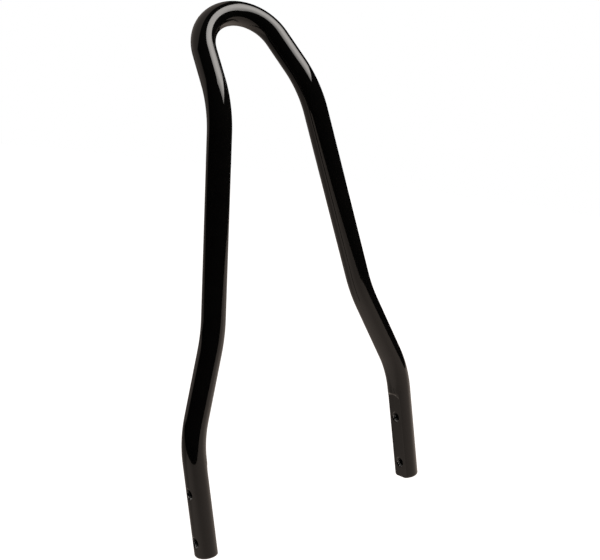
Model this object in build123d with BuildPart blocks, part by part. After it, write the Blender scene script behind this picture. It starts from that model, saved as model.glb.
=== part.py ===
"""Sissy bar: one solid round bar bent into a tall hoop that bolts to two side plates on a motorbike.

Millimetres. +Z runs up the legs, X runs across from leg to leg and the hoop leans back towards +Y.
The origin is halfway between the legs, on the axis of the lower bolt holes.
"""

import math
import os

from build123d import *

# Bar stock: solid round steel
bar_diameter = 19.05

# Widths between the two centrelines: at the legs, at the upper corner of the shoulder and at the knee
leg_spacing = 205.0
shoulder_width = 145.0
knee_width = 83.5

# Rises from each corner of the centreline to the next, the first one from the end of the leg
leg_rise = 96.0
shoulder_rise = 77.0
upper_rise = 172.5

# Hoop above the knees: its length up the slope to the crown's centreline, and how far it leans back
hoop_length = 73.6
hoop_lean = 34.3

# Bend radii of the centreline
leg_bend_radius = 92.0
shoulder_bend_radius = 134.0
knee_bend_radius = 68.0
crown_radius = 34.2

# Flats milled on the inner faces of the legs by a cutter that leaves a round end
flat_depth = 3.2
flat_length = 75.4
flat_cutter_diameter = 25.4

# Tapped through holes across each leg, two to a leg
thread_diameter = 7.94
thread_pitch = 1.411
hole_end_distance = 13.3
hole_spacing = 41.0
inner_countersink_diameter = 9.0
outer_countersink_diameter = 10.2
countersink_angle = 90.0

# Rounding at the end of each leg
end_radius = 2.0

# Values that follow from those above
bar_radius = bar_diameter / 2
leg_end_height = -hole_end_distance
tap_drill_diameter = thread_diameter - thread_pitch
cutter_travel = flat_length - flat_cutter_diameter / 2
inner_face = leg_spacing / 2 - bar_radius + flat_depth
outer_face = leg_spacing / 2 + bar_radius
hole_heights = (0.0, hole_spacing)
sides = (-1, 1)


def leg_corners(side):
    """Corners of one leg's centreline, from its end up to the knee."""
    lower_corner_height = leg_end_height + leg_rise
    upper_corner_height = lower_corner_height + shoulder_rise
    knee_height = upper_corner_height + upper_rise
    return (
        Vector(side * leg_spacing / 2, 0, leg_end_height),
        Vector(side * leg_spacing / 2, 0, lower_corner_height),
        Vector(side * shoulder_width / 2, 0, upper_corner_height),
        Vector(side * knee_width / 2, 0, knee_height),
    )


def hoop_point(across, up):
    """A point of the hoop's leaning plane, measured from the middle of the line between the knees."""
    knee_height = leg_corners(1)[-1].Z
    back = up * math.sin(math.radians(hoop_lean))
    rise = up * math.cos(math.radians(hoop_lean))
    return Vector(across, back, knee_height + rise)


def crown_start(side):
    """Where a side of the hoop, straight up from its knee, runs into the round crown."""
    crown_centre = hoop_length - crown_radius
    knee_to_centre = math.hypot(knee_width / 2, crown_centre)
    inward_lean = math.atan2(knee_width / 2, crown_centre) - math.asin(crown_radius / knee_to_centre)
    across = side * crown_radius * math.cos(inward_lean)
    return hoop_point(across, crown_centre + crown_radius * math.sin(inward_lean))


with BuildPart() as sissy_bar:
    # Centreline: two legs bent alike, joined by the crown
    with BuildLine() as centreline:
        for side in sides:
            FilletPolyline(
                *leg_corners(side),
                crown_start(side),
                radius=(leg_bend_radius, shoulder_bend_radius, knee_bend_radius),
            )
        ThreePointArc(crown_start(-1), hoop_point(0, hoop_length), crown_start(1))

    # Round bar along the centreline, from the end of one leg to the end of the other
    with BuildSketch(Plane(leg_corners(-1)[0])):
        Circle(bar_radius)
    sweep(path=centreline.wires()[0])

    # Rounded ends
    end_faces = sissy_bar.faces().filter_by(Axis.Z).group_by(Axis.Z)[0]
    fillet(end_faces.edges(), end_radius)

    # Flats on the inner faces, open at the leg's end and round at the top
    for side in sides:
        with BuildSketch(Plane((side * inner_face, 0, leg_end_height), (0, -side, 0), (-side, 0, 0))):
            with Locations((0, cutter_travel / 2)):
                Rectangle(flat_cutter_diameter, cutter_travel)
            with Locations((0, cutter_travel)):
                Circle(flat_cutter_diameter / 2)
        extrude(amount=bar_diameter, mode=Mode.SUBTRACT)

    # Tapped through holes, countersunk at both mouths
    for side in sides:
        for height in hole_heights:
            inner_mouth = Plane((side * inner_face, 0, height), z_dir=(-side, 0, 0))
            outer_mouth = Plane((side * outer_face, 0, height), z_dir=(side, 0, 0))
            for mouth, diameter in (
                (inner_mouth, inner_countersink_diameter),
                (outer_mouth, outer_countersink_diameter),
            ):
                with Locations(mouth):
                    CounterSinkHole(
                        tap_drill_diameter / 2,
                        diameter / 2,
                        depth=bar_diameter,
                        counter_sink_angle=countersink_angle,
                    )

sissy_bar.part.label = "sissy_bar"

os.makedirs("parts", exist_ok=True)
export_step(sissy_bar.part, "parts/sissy_bar.step")
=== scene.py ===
"""Looks of the sissy bar: a fine mesh of the bent bar in its gloss black coat, and a plain studio round it.

Metres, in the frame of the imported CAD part: +Z runs up the legs, X runs across from leg to leg and the
hoop leans back towards +Y. The bar's sizes are the ones in part.py. Edges that are sharp there are
rounded here, as the coat rounds them, and the bolt holes get their threads.
"""

import math

import bmesh
import bpy
import numpy as np
from mathutils import Matrix, Quaternion, Vector


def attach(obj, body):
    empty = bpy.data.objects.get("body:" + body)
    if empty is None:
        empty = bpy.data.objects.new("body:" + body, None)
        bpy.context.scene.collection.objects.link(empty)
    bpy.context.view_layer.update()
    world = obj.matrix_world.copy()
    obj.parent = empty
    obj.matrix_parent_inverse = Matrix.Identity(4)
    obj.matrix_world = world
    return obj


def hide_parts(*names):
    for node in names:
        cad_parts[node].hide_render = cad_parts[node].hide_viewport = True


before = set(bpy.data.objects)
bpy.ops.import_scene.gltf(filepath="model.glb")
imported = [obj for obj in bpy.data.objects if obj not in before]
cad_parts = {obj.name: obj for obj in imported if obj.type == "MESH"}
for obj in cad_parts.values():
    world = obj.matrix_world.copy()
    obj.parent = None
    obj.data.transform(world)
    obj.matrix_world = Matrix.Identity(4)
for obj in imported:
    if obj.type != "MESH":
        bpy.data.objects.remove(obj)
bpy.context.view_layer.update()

mm = 0.001

# Bar stock and centreline, as in part.py
bar_radius = 19.05 * mm / 2
leg_spacing = 205.0 * mm
shoulder_width = 145.0 * mm
knee_width = 83.5 * mm
leg_rise = 96.0 * mm
shoulder_rise = 77.0 * mm
upper_rise = 172.5 * mm
hoop_length = 73.6 * mm
hoop_lean = math.radians(34.3)
bend_radii = (92.0 * mm, 134.0 * mm, 68.0 * mm)
crown_radius = 34.2 * mm
sides = (-1, 1)

# Flats, holes and leg ends, as in part.py
flat_depth = 3.2 * mm
flat_length = 75.4 * mm
cutter_radius = 25.4 * mm / 2
thread_radius = 7.94 * mm / 2
thread_pitch = 1.411 * mm
tap_drill_radius = thread_radius - thread_pitch / 2
leg_end_height = -13.3 * mm
hole_heights = (0.0, 41.0 * mm)
inner_countersink_radius = 9.0 * mm / 2
outer_countersink_radius = 10.2 * mm / 2
end_radius = 2.0 * mm

# Rounding of the edges: the flat's own, its shoulder, the corner below the shoulder and the holes' mouths
flat_edge_radius = 0.35 * mm
shoulder_radius = 2.1 * mm
corner_rounding = 1.6 * mm
mouth_rounding = 0.35 * mm

# Half the width of a thread's crest, in quarter pitches
thread_half_crest = 0.45

# Fineness of the mesh along the bar, in the square round each hole's mouth and down the thread
bend_step = math.radians(2.0)
run_step = 12.0 * mm
patch_half = 6.0 * mm
patch_cells = 8
thread_rows_per_pitch = 10

# Columns of the mesh round the bar: how far the close ones reach at the flat's edge, and the counts
flat_edge_reach = math.radians(6.0)
columns_before_edge = 2
columns_at_edge = 16
columns_behind_edge = 22

# Rings of the mesh up the leg: shares of the end's radius, rises past the rounded end and rows between
# the holes, then shares of the way down from the flat's wall to the holes, up the wall and on to the bend
end_shares = (0.3, 0.6, 0.76, 0.8, 0.84, 0.88, 0.92, 0.96, 1.0)
end_rises = (0.15 * mm, 0.4 * mm, 0.75 * mm, 1.2 * mm, 1.7 * mm, 2.3 * mm, 3.2 * mm, 5.0 * mm)
rows_between_holes = 3
below_wall_shares = (0.72, 0.45, 0.26, 0.15, 0.09, 0.055, 0.033, 0.018, 0.009, 0.0)
up_wall_shares = (0.05, 0.12, 0.2, 0.35, 0.55, 0.75, 0.88, 0.95, 1.0)
above_wall_shares = (0.07, 0.14, 0.24, 0.4, 0.65, 1.0)

# Rings of the mesh at a hole's mouth: shares of the way out from its rim, and depths down its countersink
mouth_shares = (0.65, 0.35, 0.16, 0.08, 0.03, 0.0)
mouth_depths = (0.08 * mm, 0.18 * mm, 0.35 * mm, 0.6 * mm)

# Closeness of the mesh to the true surface
settle_rounds = 8
rim_rounds = 40
probe = 0.001 * mm
least_steepness = 1e-6
merge_distance = 0.002 * mm

# Values that follow from those above
flat_distance = bar_radius - flat_depth
cutter_height = leg_end_height + flat_length - cutter_radius
patch_angle = math.asin(patch_half / bar_radius)
flat_edge_angle = math.acos(flat_distance / bar_radius)
thread_depth = thread_radius - tap_drill_radius
hole_middle = leg_spacing / 2 + flat_depth / 2


# Centreline

def leg_corners(side):
    """Corners of one leg's centreline, from its end up to the knee."""
    lower_corner_height = leg_end_height + leg_rise
    upper_corner_height = lower_corner_height + shoulder_rise
    knee_height = upper_corner_height + upper_rise
    return [
        Vector((side * leg_spacing / 2, 0, leg_end_height)),
        Vector((side * leg_spacing / 2, 0, lower_corner_height)),
        Vector((side * shoulder_width / 2, 0, upper_corner_height)),
        Vector((side * knee_width / 2, 0, knee_height)),
    ]


def hoop_point(across, up):
    """A point of the hoop's leaning plane, measured from the middle of the line between the knees."""
    knee_height = leg_corners(1)[-1].z
    return Vector((across, up * math.sin(hoop_lean), knee_height + up * math.cos(hoop_lean)))


def crown_start(side):
    """Where a side of the hoop, straight up from its knee, runs into the round crown."""
    crown_centre = hoop_length - crown_radius
    knee_to_centre = math.hypot(knee_width / 2, crown_centre)
    inward_lean = math.atan2(knee_width / 2, crown_centre) - math.asin(crown_radius / knee_to_centre)
    across = side * crown_radius * math.cos(inward_lean)
    return hoop_point(across, crown_centre + crown_radius * math.sin(inward_lean))


def setback(before, corner, after, radius):
    """How far from its corner a bend starts and ends."""
    return radius * math.tan((corner - before).angle(after - corner) / 2)


def lower_bend_start(side):
    """Where a straight leg runs into its lower bend."""
    end, corner, after = leg_corners(side)[:3]
    return corner - (corner - end).normalized() * setback(end, corner, after, bend_radii[0])


def bend(start, centre, end, directions):
    """Stations along an arc, each a point and the section's own two directions, turned with the bar."""
    axis = (start - centre).cross(end - centre).normalized()
    angle = (start - centre).angle(end - centre)
    steps = math.ceil(angle / bend_step)
    for step in range(1, steps + 1):
        turn = Quaternion(axis, angle * step / steps)
        yield centre + turn @ (start - centre), [turn @ direction for direction in directions]


def run(start, end, directions):
    """Stations along a straight run."""
    steps = math.ceil((end - start).length / run_step)
    for step in range(1, steps + 1):
        yield start.lerp(end, step / steps), directions


def stations(side):
    """Stations of one half of the bar, from the lower bend's start to the middle of the crown."""
    corners = leg_corners(side) + [crown_start(side)]
    directions = [Vector((-side, 0, 0)), Vector((0, 1, 0))]
    found = []
    position = lower_bend_start(side)
    for corner, after, radius in zip(corners[1:], corners[2:], bend_radii):
        arriving = (corner - position).normalized()
        leaving = (after - corner).normalized()
        reach = setback(position, corner, after, radius)
        start = corner - arriving * reach
        end = corner + leaving * reach
        centre = corner + (leaving - arriving).normalized() * math.hypot(radius, reach)
        found += run(position, start, directions)
        found += bend(start, centre, end, directions)
        directions = found[-1][1]
        position = end
    found += run(position, corners[-1], directions)
    crown_centre = hoop_point(0, hoop_length - crown_radius)
    found += bend(corners[-1], crown_centre, hoop_point(0, hoop_length), directions)
    return found


# Lower legs: points are rows of (inward from the leg's axis, back, up)

def smooth_max(a, b, width):
    """The larger of two fields, with the edge between them rounded."""
    overlap = np.maximum(width - np.abs(a - b), 0.0)
    return np.maximum(a, b) + overlap**2 / (4 * width)


def smooth_min(a, b, width):
    """The smaller of two fields, with the corner between them rounded."""
    return -smooth_max(-a, -b, width)


def fillet_max(a, b, radius):
    """The larger of two fields, with a fillet of a radius along the edge between them."""
    both = np.hypot(np.maximum(a + radius, 0.0), np.maximum(b + radius, 0.0)) - radius
    return np.minimum(np.maximum(a, b) + radius, 0.0) + both


def inner_side(back):
    """How far inward the flat lies, all along a row of points."""
    return np.full_like(back, flat_distance)


def outer_side(back):
    """How far inward the round outer side of the bar lies, at distances back from its axis."""
    return -np.sqrt(bar_radius**2 - back**2)


def outer_rim(sine):
    """Radius at which an outer countersink meets the round bar, by the sine of the turn about the hole."""
    rim = np.full_like(sine, outer_countersink_radius)
    for _ in range(rim_rounds):
        rim = outer_countersink_radius - bar_radius - outer_side(rim * sine)
    return rim


def countersunk_radius(inward):
    """Radius of a hole and its two countersinks at a distance from the leg's axis."""
    from_inner_face = inner_countersink_radius - (flat_distance - inward)
    from_outer_face = outer_countersink_radius - (inward + bar_radius)
    return np.maximum(tap_drill_radius, np.maximum(from_inner_face, from_outer_face))


def leg_field(points):
    """How far points lie outside the finished lower leg: nought on its surface, less inside it."""
    inward, back, up = points.T
    bar = fillet_max(np.hypot(inward, back) - bar_radius, leg_end_height - up, end_radius)
    above_flat = inward - flat_distance
    below_wall = cutter_radius - np.hypot(back, np.maximum(up - cutter_height, 0.0))
    milled = smooth_min(above_flat, below_wall, corner_rounding)
    shoulder_share = np.clip((above_flat - below_wall) / shoulder_radius, 0.0, 1.0)
    edge_radius = flat_edge_radius + shoulder_share * (shoulder_radius - flat_edge_radius)
    field = fillet_max(bar, milled, edge_radius)
    for height in hole_heights:
        inside_hole = countersunk_radius(inward) - np.hypot(back, up - height)
        field = smooth_max(field, inside_hole, mouth_rounding)
    return field


def leg_slope(points):
    """Slope of the field at each point and how steep it is, with a least value for the holes' axes."""
    steps = np.eye(3) * probe
    slope = np.stack([leg_field(points + step) - leg_field(points - step) for step in steps], axis=1)
    slope /= 2 * probe
    return slope, np.maximum(np.linalg.norm(slope, axis=1, keepdims=True), least_steepness)


def settle(points):
    """Points moved onto the leg's surface, and the surface's normals there."""
    for _ in range(settle_rounds):
        slope, steepness = leg_slope(points)
        points = points - slope * leg_field(points)[:, None] / steepness**2
    slope, steepness = leg_slope(points)
    return points, slope / steepness


def column_angles():
    """Angles of the mesh's columns round the bar, from straight inward, close at the flat's edges."""
    edge_start = flat_edge_angle - flat_edge_reach
    edge_end = flat_edge_angle + flat_edge_reach
    outer_patch = math.pi - patch_angle
    half = np.concatenate([
        np.linspace(0, patch_angle, patch_cells, endpoint=False),
        np.linspace(patch_angle, edge_start, columns_before_edge, endpoint=False),
        np.linspace(edge_start, edge_end, columns_at_edge, endpoint=False),
        np.linspace(edge_end, outer_patch, columns_behind_edge, endpoint=False),
        np.linspace(outer_patch, math.pi, patch_cells, endpoint=False),
    ])
    return np.concatenate([half, [math.pi], 2 * math.pi - half[:0:-1]])


class HalfBar:
    """Points, normals and faces of one half of the bar."""

    coat = 0
    thread = 1

    def __init__(self, side):
        self.side = side
        self.points = []
        self.normals = []
        self.faces = []
        self.finishes = []
        self.angles = column_angles()

    def add(self, points, normals):
        """Adds a ring of points in the part's frame and returns their numbers."""
        first = len(self.points)
        self.points += [tuple(p) for p in points]
        self.normals += [tuple(n) for n in normals]
        return np.arange(first, len(self.points))

    def add_on_leg(self, inward, back, up, settled=True):
        """Adds a ring of the lower leg, moved onto its rounded surface unless it is a thread's."""
        points = np.stack(np.broadcast_arrays(inward, back, up), axis=1).astype(float)
        # Where a normal is left at nought, as on a thread, Blender works out its own
        normals = np.zeros_like(points)
        if settled:
            points, normals = settle(points)
        across = self.side * (leg_spacing / 2 - points[:, 0])
        placed = np.column_stack([across, points[:, 1:]])
        return self.add(placed, normals * (-self.side, 1, 1))

    def join(self, ring, next_ring, finish=coat, skip=()):
        """Fills the band between two closed rings, but for columns to skip. Returns the second ring."""
        count = len(ring)
        for j in range(count):
            if j not in skip:
                k = (j + 1) % count
                self.faces.append((ring[j], ring[k], next_ring[k], next_ring[j]))
                self.finishes.append(finish)
        return next_ring

    def leg_rings(self):
        """Rings from the leg's end to the lower bend, and the first ring of the square round each hole."""
        round_inward = bar_radius * np.cos(self.angles)
        flat_inward = np.minimum(round_inward, flat_distance)
        back = bar_radius * np.sin(self.angles)
        wall_height = cutter_height + np.sqrt(cutter_radius**2 - back**2)
        bend_height = lower_bend_start(self.side).z

        heights = [leg_end_height + rise for rise in end_rises]
        hole_rows = []
        for hole_height in hole_heights:
            bottom = hole_height - patch_half
            top = hole_height + patch_half
            if hole_rows:
                heights += list(np.linspace(heights[-1], bottom, rows_between_holes + 2)[1:-1])
            hole_rows.append(len(end_shares) + len(heights))
            heights += list(np.linspace(bottom, top, 2 * patch_cells + 1))

        rings = []
        for share in end_shares:
            rings.append(self.add_on_leg(share * flat_inward, share * back, leg_end_height))
        for height in heights:
            rings.append(self.add_on_leg(flat_inward, back, height))
        for share in below_wall_shares:
            height = wall_height + share * (heights[-1] - wall_height)
            rings.append(self.add_on_leg(flat_inward, back, height))
        for share in up_wall_shares:
            inward = flat_inward + share * (round_inward - flat_inward)
            rings.append(self.add_on_leg(inward, back, wall_height))
        for share in above_wall_shares:
            height = wall_height + share * (bend_height - wall_height)
            rings.append(self.add_on_leg(round_inward, back, height))
        return rings, hole_rows

    def lower_leg(self):
        """The leg from its end to the lower bend. Returns its last ring."""
        rings, hole_rows = self.leg_rings()
        self.close_end(rings[0])
        count = len(self.angles)
        inner_columns = [j % count for j in range(-patch_cells, patch_cells)]
        outer_columns = [j + count // 2 for j in range(-patch_cells, patch_cells)]
        for i in range(len(rings) - 1):
            at_hole = any(row <= i < row + 2 * patch_cells for row in hole_rows)
            self.join(rings[i], rings[i + 1], skip=inner_columns + outer_columns if at_hole else ())
        for row, hole_height in zip(hole_rows, hole_heights):
            square = rings[row:row + 2 * patch_cells + 1]
            inner = self.border(square, inner_columns, hole_height)
            outer = self.border(square, outer_columns, hole_height)
            self.hole(inner, outer, hole_height)
        return rings[-1]

    def close_end(self, ring):
        """Fills the smallest ring on the leg's end with triangles."""
        middle = self.add([(self.side * leg_spacing / 2, 0, leg_end_height)], [(0, 0, -1)])[0]
        for number, after in zip(ring, np.roll(ring, -1)):
            self.faces.append((middle, number, after))
            self.finishes.append(self.coat)

    def border(self, square, columns, hole_height):
        """Numbers of the points round a square patch, in order round the hole's axis."""
        last = (columns[-1] + 1) % len(self.angles)
        numbers = {ring[j] for ring in square for j in (columns[0], last)}
        numbers |= {ring[j] for ring in (square[0], square[-1]) for j in columns}
        return sorted(numbers, key=lambda number: self.round_hole(number, hole_height))

    def round_hole(self, number, hole_height):
        """Angle of a point about a hole's axis, from straight up towards the back."""
        _, back, up = self.points[number]
        just_before = 1e-6
        return (math.atan2(back, up - hole_height) + just_before) % (2 * math.pi)

    def hole(self, inner, outer, height):
        """A tapped hole between two square borders: its mouths, their countersinks and the thread."""
        turn = np.array([self.round_hole(number, height) for number in inner])
        sine = np.sin(turn)
        cosine = np.cos(turn)
        inner_rim = np.full_like(turn, inner_countersink_radius)

        def add_round(inward, radius, settled=True):
            """Adds a ring round the hole's axis."""
            return self.add_on_leg(inward, radius * sine, height + radius * cosine, settled)

        mouths = []
        for border, rim, face, into_metal in (
            (inner, inner_rim, inner_side, -1),
            (outer, outer_rim(sine), outer_side, 1),
        ):
            reach = np.array([math.hypot(self.points[n][1], self.points[n][2] - height) for n in border])
            last = border
            for share in mouth_shares:
                radius = rim + share * (reach - rim)
                last = self.join(last, add_round(face(radius * sine), radius))
            for depth in mouth_depths:
                inward = face(rim * sine) + into_metal * depth
                last = self.join(last, add_round(inward, rim - depth))
            mouths.append((last, inward))

        (last, inner_end), (outer_ring, outer_end) = mouths
        rows = math.ceil((flat_distance + bar_radius) / thread_pitch * thread_rows_per_pitch)
        for row in range(1, rows):
            inward = inner_end + (outer_end - inner_end) * row / rows
            radius = np.maximum(self.threaded_radius(inward, sine, cosine), countersunk_radius(inward))
            last = self.join(last, add_round(inward, radius, settled=False), finish=self.thread)
        self.join(last, outer_ring, finish=self.thread)

    def threaded_radius(self, inward, sine, cosine):
        """Radius of the helical thread, which is right-handed in both legs."""
        across = self.side * (leg_spacing / 2 - inward)
        turns = across / thread_pitch - np.arctan2(cosine, sine) / (2 * math.pi)
        quarters_from_crest = 2.0 - 4.0 * np.abs(turns % 1.0 - 0.5)
        groove = np.clip(quarters_from_crest - thread_half_crest, 0.0, 1.0)
        return tap_drill_radius + thread_depth * groove

    def bent_bar(self, last):
        """The round bar from the lower bend to the middle of the crown."""
        inward_share = np.cos(self.angles)[:, None]
        back_share = np.sin(self.angles)[:, None]
        for point, (inward, back) in stations(self.side):
            outward = inward_share * np.array(inward) + back_share * np.array(back)
            last = self.join(last, self.add(np.array(point) + bar_radius * outward, outward))


def clean(mesh):
    """Drops the points that no face uses, joins the two halves and turns every face outward."""
    shape = bmesh.new()
    shape.from_mesh(mesh)
    unused = [vertex for vertex in shape.verts if not vertex.link_faces]
    bmesh.ops.delete(shape, geom=unused, context="VERTS")
    bmesh.ops.remove_doubles(shape, verts=shape.verts, dist=merge_distance)
    bmesh.ops.recalc_face_normals(shape, faces=shape.faces)
    shape.to_mesh(mesh)
    shape.free()


def build_bar(name):
    """The whole bar as one closed mesh with the normals of the true surface."""
    points = []
    normals = []
    faces = []
    finishes = []
    for side in sides:
        half = HalfBar(side)
        half.bent_bar(half.lower_leg())
        first = len(points)
        points += half.points
        normals += half.normals
        faces += [tuple(int(number) + first for number in face) for face in half.faces]
        finishes += half.finishes

    mesh = bpy.data.meshes.new(name)
    mesh.from_pydata(points, [], faces)
    mesh.polygons.foreach_set("material_index", finishes)
    mesh.polygons.foreach_set("use_smooth", [True] * len(faces))
    kept_normals = mesh.attributes.new("surface_normal", "FLOAT_VECTOR", "POINT")
    kept_normals.data.foreach_set("vector", np.array(normals).ravel())
    clean(mesh)

    surface = np.zeros(3 * len(mesh.vertices))
    mesh.attributes["surface_normal"].data.foreach_get("vector", surface)
    mesh.attributes.remove(mesh.attributes["surface_normal"])
    mesh.normals_split_custom_set_from_vertices(surface.reshape(-1, 3))
    piece = bpy.data.objects.new(name, mesh)
    bpy.context.scene.collection.objects.link(piece)
    return piece


# Shader nodes

# Values that Blender's noise mostly keeps to
noise_range = (0.25, 0.75)


def new_material(name):
    """A node material with its tree emptied, and its output."""
    material = bpy.data.materials.new(name)
    material.use_nodes = True
    tree = material.node_tree
    tree.nodes.clear()
    return material, tree, tree.nodes.new("ShaderNodeOutputMaterial")


def noise(tree, size, detail, low, high):
    """Noise with features of about a size, spread over a range of values."""
    place = tree.nodes.new("ShaderNodeTexCoord")
    pattern = tree.nodes.new("ShaderNodeTexNoise")
    spread = tree.nodes.new("ShaderNodeMapRange")
    pattern.inputs["Scale"].default_value = 1.0 / size
    pattern.inputs["Detail"].default_value = detail
    spread.inputs["From Min"].default_value = noise_range[0]
    spread.inputs["From Max"].default_value = noise_range[1]
    spread.inputs["To Min"].default_value = low
    spread.inputs["To Max"].default_value = high
    tree.links.new(place.outputs["Object"], pattern.inputs["Vector"])
    tree.links.new(pattern.outputs["Fac"], spread.inputs["Value"])
    return spread.outputs["Result"]


def blend_colours(tree, share, first, second):
    """Two colours mixed by a value. The first may be another node's colour."""
    mix = tree.nodes.new("ShaderNodeMix")
    mix.data_type = "RGBA"
    if isinstance(first, bpy.types.NodeSocket):
        tree.links.new(first, mix.inputs["A"])
    else:
        mix.inputs["A"].default_value = (*first, 1.0)
    mix.inputs["B"].default_value = (*second, 1.0)
    tree.links.new(share, mix.inputs["Factor"])
    return mix.outputs["Result"]


def vector_step(tree, operation, first, second=None):
    """The result of one step of vector arithmetic on a socket and a fixed vector."""
    node = tree.nodes.new("ShaderNodeVectorMath")
    node.operation = operation
    tree.links.new(first, node.inputs[0])
    if second is not None:
        node.inputs[1].default_value = second
    return node.outputs["Value" if operation in ("DOT_PRODUCT", "LENGTH") else "Vector"]


def ramp(tree, value, start, end, low=0.0, high=1.0):
    """A value that eases from low at the start of a range to high at its end."""
    node = tree.nodes.new("ShaderNodeMapRange")
    node.interpolation_type = "SMOOTHSTEP"
    node.inputs["From Min"].default_value = start
    node.inputs["From Max"].default_value = end
    node.inputs["To Min"].default_value = low
    node.inputs["To Max"].default_value = high
    tree.links.new(value, node.inputs["Value"])
    return node.outputs["Result"]


def product(tree, first, second):
    """Two values multiplied."""
    node = tree.nodes.new("ShaderNodeMath")
    node.operation = "MULTIPLY"
    tree.links.new(first, node.inputs[0])
    tree.links.new(second, node.inputs[1])
    return node.outputs["Value"]


def bumps(tree, height, depth):
    """Normals of a surface raised by a height of 0 to 1 times a depth."""
    bump = tree.nodes.new("ShaderNodeBump")
    bump.inputs["Strength"].default_value = 1.0
    bump.inputs["Distance"].default_value = depth
    tree.links.new(height, bump.inputs["Height"])
    return bump.outputs["Normal"]


# Gloss black coat: the clear gloss, the tints and roughness under it, and the orange peel
gloss_ior = 1.5
gloss_roughness = 0.02
coat_tints = ((0.0028, 0.0026, 0.0025), (0.0046, 0.0042, 0.0039))
coat_tint_size = 9.0 * mm
coat_roughness = (0.05, 0.09)
coat_roughness_size = 5.0 * mm
coat_detail = 3.0
peel_size = 2.2 * mm
peel_detail = 1.0
peel_depth = 0.004 * mm

# Tapped steel: its dark tint and the bright tint of its flecks, its roughness, and where the flecks go, by
# the value of the noise, by how far a face looks up and by the distance from the hole's middle. The flecks
# are partly bare metal worn near the mouths and partly a painted glint, as only faces that look up towards
# the light get them
steel_metallic = 0.2
steel_tints = ((0.012, 0.011, 0.010), (0.95, 0.93, 0.90))
steel_roughness = (0.3, 0.6)
steel_roughness_size = 0.8 * mm
steel_detail = 2.0
fleck_size = 1.2 * mm
fleck_noise = (0.45, 0.6)
glint_facing_up = (-0.5, 0.3)
fleck_distance = (4.6 * mm, 6.6 * mm)


def gloss_black_coat():
    """Baked gloss black powder coat: near black under a clear gloss, with a faint orange peel."""
    material, tree, output = new_material("gloss_black_coat")
    shader = tree.nodes.new("ShaderNodeBsdfPrincipled")
    shader.inputs["IOR"].default_value = gloss_ior
    shader.inputs["Coat Weight"].default_value = 1.0
    shader.inputs["Coat Roughness"].default_value = gloss_roughness
    shader.inputs["Coat IOR"].default_value = gloss_ior
    tint = noise(tree, coat_tint_size, coat_detail, 0.0, 1.0)
    roughness = noise(tree, coat_roughness_size, coat_detail, *coat_roughness)
    peel = bumps(tree, noise(tree, peel_size, peel_detail, 0.0, 1.0), peel_depth)
    tree.links.new(blend_colours(tree, tint, *coat_tints), shader.inputs["Base Color"])
    tree.links.new(roughness, shader.inputs["Roughness"])
    tree.links.new(peel, shader.inputs["Normal"])
    tree.links.new(peel, shader.inputs["Coat Normal"])
    tree.links.new(shader.outputs["BSDF"], output.inputs["Surface"])
    return material


def tapped_steel():
    """Steel of the threads, black with coat and oil but for bright flecks near the holes' mouths: partly
    worn bare metal, partly a painted glint on faces that look up.
    """
    material, tree, output = new_material("tapped_steel")
    shader = tree.nodes.new("ShaderNodeBsdfPrincipled")
    shader.inputs["Metallic"].default_value = steel_metallic
    surface = tree.nodes.new("ShaderNodeNewGeometry")
    facing_up = vector_step(tree, "DOT_PRODUCT", surface.outputs["Normal"], (0.0, 0.0, 1.0))
    place = tree.nodes.new("ShaderNodeTexCoord")
    either_leg = vector_step(tree, "ABSOLUTE", place.outputs["Object"])
    off_middle = vector_step(tree, "SUBTRACT", either_leg, (hole_middle, 0.0, 0.0))
    either_way = vector_step(tree, "ABSOLUTE", off_middle)
    along_hole = vector_step(tree, "DOT_PRODUCT", either_way, (1.0, 0.0, 0.0))
    worn_and_lit = ramp(tree, noise(tree, fleck_size, steel_detail, 0.0, 1.0), *fleck_noise)
    # Painted glint: the flecks show only on faces that look up towards the light, as if lit from above
    worn_and_lit = product(tree, worn_and_lit, ramp(tree, facing_up, *glint_facing_up))
    worn_and_lit = product(tree, worn_and_lit, ramp(tree, along_hole, *fleck_distance))
    roughness = noise(tree, steel_roughness_size, steel_detail, *steel_roughness)
    tree.links.new(blend_colours(tree, worn_and_lit, *steel_tints), shader.inputs["Base Color"])
    tree.links.new(roughness, shader.inputs["Roughness"])
    tree.links.new(shader.outputs["BSDF"], output.inputs["Surface"])
    return material


bar = build_bar("bent_bar")
bar.data.materials.append(gloss_black_coat())
bar.data.materials.append(tapped_steel())
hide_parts("sissy_bar")
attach(bar, "root")

# Floor: a long oval below the part with a painted pool of light, palest under it and painted darker in
# front and behind, with the fades along Y
floor_height = -0.26
floor_middle = (-2.60, 6.49)
floor_radii = (2.55, 8.24)
floor_turn = math.radians(24.3)
floor_segments = 256
floor_pool_colour = (0.84, 0.727, 0.646)
floor_painted_front_shade = (0.546, 0.471, 0.419)
floor_painted_back_shade = (0.44, 0.38, 0.338)
floor_front_fade = (-0.6, 0.0)
floor_back_fade = (0.15, 0.55)

# Softbox: its fade runs from its middle out, mostly sideways, in shares of its size
softbox_azimuth = math.radians(56.0)
softbox_elevation = math.radians(41.6)
softbox_distance = 1.5
softbox_size = (1.8, 1.0)
softbox_radiance = 3.95
softbox_colour = (1.0, 0.953, 0.91)
softbox_middle = (0.5, 0.5, 0.0)
softbox_spread = (1.0, 0.3, 0.0)
softbox_fade = (0.0, 0.5)
softbox_edge_share = 0.5

# Room: a round pale backdrop behind the part, darkness elsewhere, and an even light on matt surfaces
backdrop_azimuth = math.radians(193.5)
backdrop_elevation = math.radians(40.1)
backdrop_half_angles = (math.radians(46.5), math.radians(41.5))
backdrop_colour = (0.22, 0.188, 0.168)
dark_colour = (0.002, 0.002, 0.002)
even_colour = (0.22, 0.22, 0.22, 1.0)
white_colour = (1.0, 1.0, 1.0, 1.0)


def direction(azimuth, elevation):
    """Direction from the part towards a place round it. Azimuth 0 is in front, at -Y, and 90 at +X."""
    level = math.cos(elevation)
    return Vector((math.sin(azimuth) * level, -math.cos(azimuth) * level, math.sin(elevation)))


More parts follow.
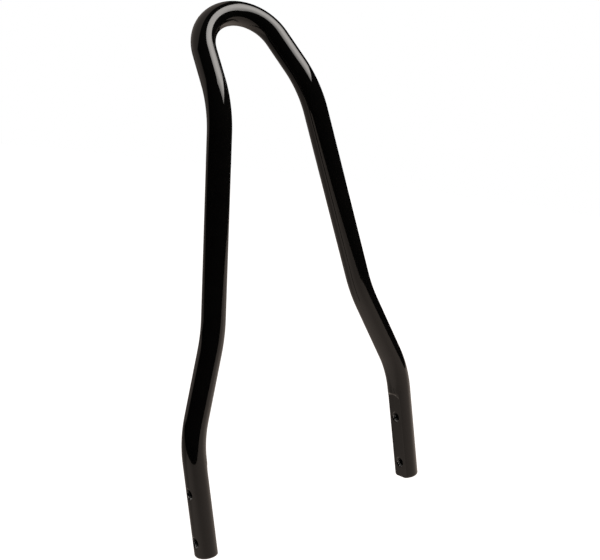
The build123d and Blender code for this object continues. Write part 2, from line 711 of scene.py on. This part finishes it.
def pale_floor():
    """White to the camera; to the part, a shade with a painted pool of light that darkens in front and
    behind; clear from below.
    """
    material, tree, output = new_material("pale_floor")
    place = tree.nodes.new("ShaderNodeTexCoord")
    how_far_back = vector_step(tree, "DOT_PRODUCT", place.outputs["Object"], (0.0, 1.0, 0.0))
    # Painted shade: the floor darkens towards the front and the back, as if a pool of light lay under the
    # part
    in_front = ramp(tree, how_far_back, *floor_front_fade, 1.0, 0.0)
    behind = ramp(tree, how_far_back, *floor_back_fade)
    nearer = blend_colours(tree, in_front, floor_pool_colour, floor_painted_front_shade)
    matte = tree.nodes.new("ShaderNodeBsdfDiffuse")
    tree.links.new(blend_colours(tree, behind, nearer, floor_painted_back_shade), matte.inputs["Color"])
    seen = tree.nodes.new("ShaderNodeLightPath")
    glow = tree.nodes.new("ShaderNodeEmission")
    tree.links.new(seen.outputs["Is Camera Ray"], glow.inputs["Strength"])
    both = tree.nodes.new("ShaderNodeAddShader")
    tree.links.new(matte.outputs["BSDF"], both.inputs[0])
    tree.links.new(glow.outputs["Emission"], both.inputs[1])
    side_seen = tree.nodes.new("ShaderNodeNewGeometry")
    clear = tree.nodes.new("ShaderNodeBsdfTransparent")
    one_sided = tree.nodes.new("ShaderNodeMixShader")
    tree.links.new(side_seen.outputs["Backfacing"], one_sided.inputs["Fac"])
    tree.links.new(both.outputs["Shader"], one_sided.inputs[1])
    tree.links.new(clear.outputs["BSDF"], one_sided.inputs[2])
    tree.links.new(one_sided.outputs["Shader"], output.inputs["Surface"])
    return material


def add_floor():
    """The floor, one flat oval face."""
    shape = bmesh.new()
    bmesh.ops.create_circle(shape, cap_ends=True, radius=1.0, segments=floor_segments)
    turned = Matrix.Translation((*floor_middle, floor_height)) @ Matrix.Rotation(floor_turn, 4, "Z")
    stretched = turned @ Matrix.Diagonal((*floor_radii, 1.0, 1.0))
    bmesh.ops.transform(shape, matrix=stretched, verts=shape.verts)
    mesh = bpy.data.meshes.new("floor")
    shape.to_mesh(mesh)
    shape.free()
    mesh.materials.append(pale_floor())
    floor = bpy.data.objects.new("floor", mesh)
    bpy.context.scene.collection.objects.link(floor)


def add_softbox(target):
    """One big soft light, high on the right, brightest in its middle and fading towards both sides."""
    light = bpy.data.lights.new("softbox", "AREA")
    light.shape = "RECTANGLE"
    light.size, light.size_y = softbox_size
    light.color = softbox_colour
    light.energy = softbox_radiance * math.pi * softbox_size[0] * softbox_size[1]
    light.use_nodes = True
    tree = light.node_tree
    place = tree.nodes.new("ShaderNodeNewGeometry")
    off_middle = vector_step(tree, "SUBTRACT", place.outputs["Parametric"], softbox_middle)
    spread = vector_step(tree, "MULTIPLY", off_middle, softbox_spread)
    level = ramp(tree, vector_step(tree, "LENGTH", spread), *softbox_fade, 1.0, softbox_edge_share)
    tree.links.new(level, tree.nodes["Emission"].inputs["Strength"])
    towards = direction(softbox_azimuth, softbox_elevation)
    lamp = bpy.data.objects.new("softbox", light)
    lamp.location = target + towards * softbox_distance
    lamp.rotation_mode = "QUATERNION"
    lamp.rotation_quaternion = (-towards).to_track_quat("-Z", "Y")
    lamp.visible_camera = False
    bpy.context.scene.collection.objects.link(lamp)


def add_world():
    """White for the camera, pale behind the part and dark in front of it in reflections, and even light."""
    world = bpy.data.worlds.new("studio")
    world.use_nodes = True
    tree = world.node_tree
    tree.nodes.clear()
    place = tree.nodes.new("ShaderNodeTexCoord")
    towards_backdrop = direction(backdrop_azimuth, backdrop_elevation)
    backward = vector_step(tree, "DOT_PRODUCT", place.outputs["Generated"], towards_backdrop)
    backdrop_edges = [math.cos(angle) for angle in backdrop_half_angles]
    pale = ramp(tree, backward, *backdrop_edges)
    room = tree.nodes.new("ShaderNodeBackground")
    tree.links.new(blend_colours(tree, pale, dark_colour, backdrop_colour), room.inputs["Color"])
    even = tree.nodes.new("ShaderNodeBackground")
    even.inputs["Color"].default_value = even_colour
    white = tree.nodes.new("ShaderNodeBackground")
    white.inputs["Color"].default_value = white_colour
    seen = tree.nodes.new("ShaderNodeLightPath")
    reflected = tree.nodes.new("ShaderNodeMath")
    reflected.operation = "MAXIMUM"
    tree.links.new(seen.outputs["Is Glossy Ray"], reflected.inputs[0])
    tree.links.new(seen.outputs["Is Transmission Ray"], reflected.inputs[1])
    unseen = tree.nodes.new("ShaderNodeMixShader")
    tree.links.new(reflected.outputs["Value"], unseen.inputs["Fac"])
    tree.links.new(even.outputs["Background"], unseen.inputs[1])
    tree.links.new(room.outputs["Background"], unseen.inputs[2])
    mix = tree.nodes.new("ShaderNodeMixShader")
    tree.links.new(seen.outputs["Is Camera Ray"], mix.inputs["Fac"])
    tree.links.new(unseen.outputs["Shader"], mix.inputs[1])
    tree.links.new(white.outputs["Background"], mix.inputs[2])
    output = tree.nodes.new("ShaderNodeOutputWorld")
    tree.links.new(mix.outputs["Shader"], output.inputs["Surface"])
    bpy.context.scene.world = world


# Camera, solved from the outline of the bar in the photograph
camera_place = Vector((-0.68785, -1.00877, 0.53060))
camera_azimuth = math.radians(-34.813)
camera_elevation = math.radians(15.820)
camera_roll = math.radians(-6.033)
photo_width = 600
focal_length_pixels = 1616.707
sensor_width = 36.0


def add_camera():
    """The photograph's camera."""
    back = direction(camera_azimuth, camera_elevation)
    level_right = Vector((math.cos(camera_azimuth), math.sin(camera_azimuth), 0.0))
    right = Quaternion(back, camera_roll) @ level_right
    up = back.cross(right)
    data = bpy.data.cameras.new("camera")
    data.sensor_width = sensor_width
    data.lens = sensor_width * focal_length_pixels / photo_width
    camera = bpy.data.objects.new("camera", data)
    camera.matrix_world = Matrix.Translation(camera_place) @ Matrix((right, up, back)).transposed().to_4x4()
    bpy.context.scene.collection.objects.link(camera)
    bpy.context.scene.camera = camera


add_floor()
add_softbox(hoop_point(0, hoop_length))
add_world()
add_camera()
bpy.context.scene.view_settings.view_transform = "Standard"
